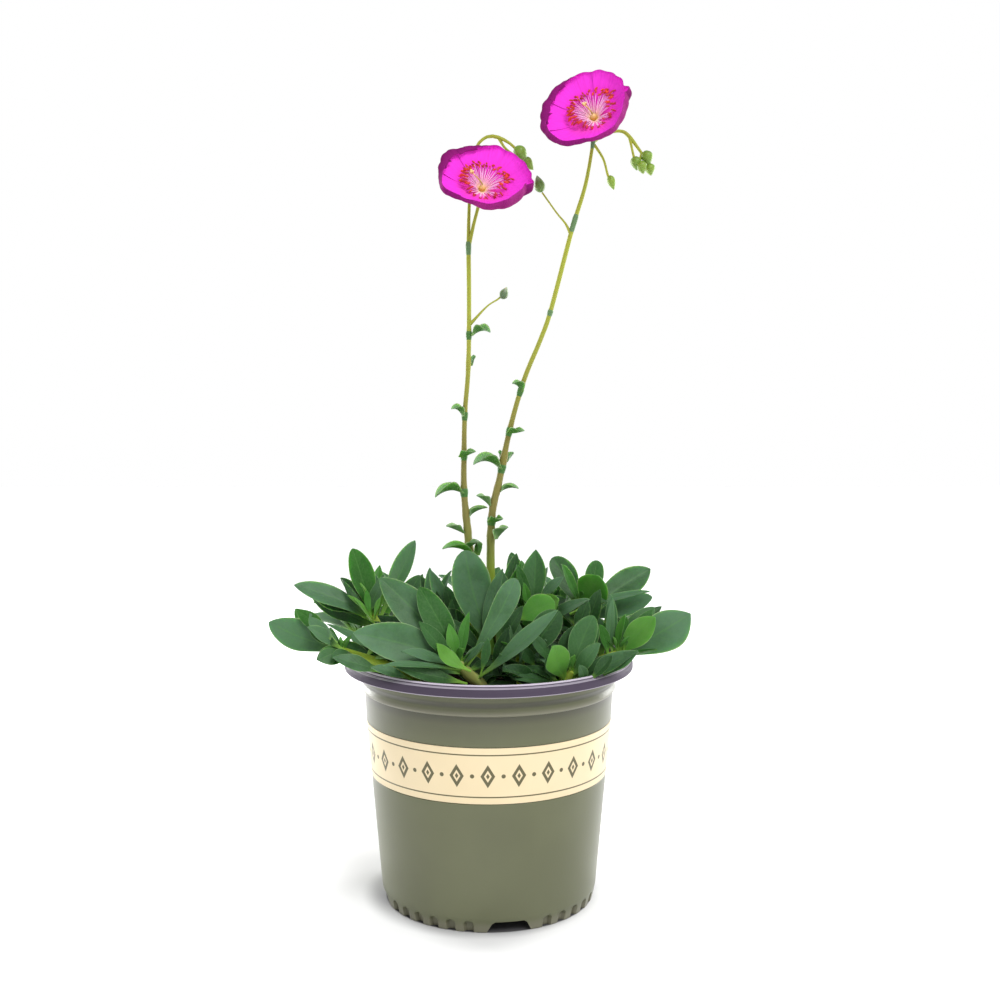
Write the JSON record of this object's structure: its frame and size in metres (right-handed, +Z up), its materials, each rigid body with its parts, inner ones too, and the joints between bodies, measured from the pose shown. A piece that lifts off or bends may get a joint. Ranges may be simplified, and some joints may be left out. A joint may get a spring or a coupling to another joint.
{
  "type": "potted rock purslane",
  "caption": "Rosettes of fleshy blue-green leaves in a tapered nursery pot, with tall thin flower stalks that carry cup-shaped magenta flowers and green buds.",
  "frame": {"origin": "centre of the pot's foot pad, on the surface that the pot stands on", "axes": "+Z up along the pot axis, -Y towards the viewer of the picture, +X to the right"},
  "size_m": [0.2451, 0.198, 0.4675],
  "materials": {
    "pot": "satin grey-olive plastic",
    "rim": "gloss grey-violet plastic",
    "label": "cream printed film, satin",
    "soil": "dark brown potting soil, rough",
    "leaf": "fleshy blue-green leaf, waxy satin",
    "stalk": "yellow-green stem, satin",
    "petal": "magenta petal, silky",
    "stamen": "pink filament with red anther, matte",
    "pistil": "yellow-green, matte"
  },
  "bodies": {
    "root": {"pot": "pot", "rim": "rim", "label_band": "label", "soil": "soil", "shoot_front": "leaf", "shoot_left": "leaf", "shoot_left_upper": "leaf", "shoot_centre": "leaf", "shoot_centre_left": "leaf", "shoot_centre_right": "leaf", "shoot_right": "leaf", "shoot_right_lower": "leaf", "shoot_front_right": "leaf", "shoot_middle": "leaf", "shoot_centre_front": "leaf", "shoot_back_left": "leaf", "shoot_back_middle": "leaf", "shoot_back_right": "leaf", "shoot_side_right": "leaf", "shoot_side_left": "leaf", "flower_stalk_a": "stalk", "petals_a": "petal", "stamens_a": "stamen", "pistil_a": "pistil", "flower_stalk_b": "stalk", "petals_b": "petal", "stamens_b": "stamen", "pistil_b": "pistil"}
  },
  "joints": []
}
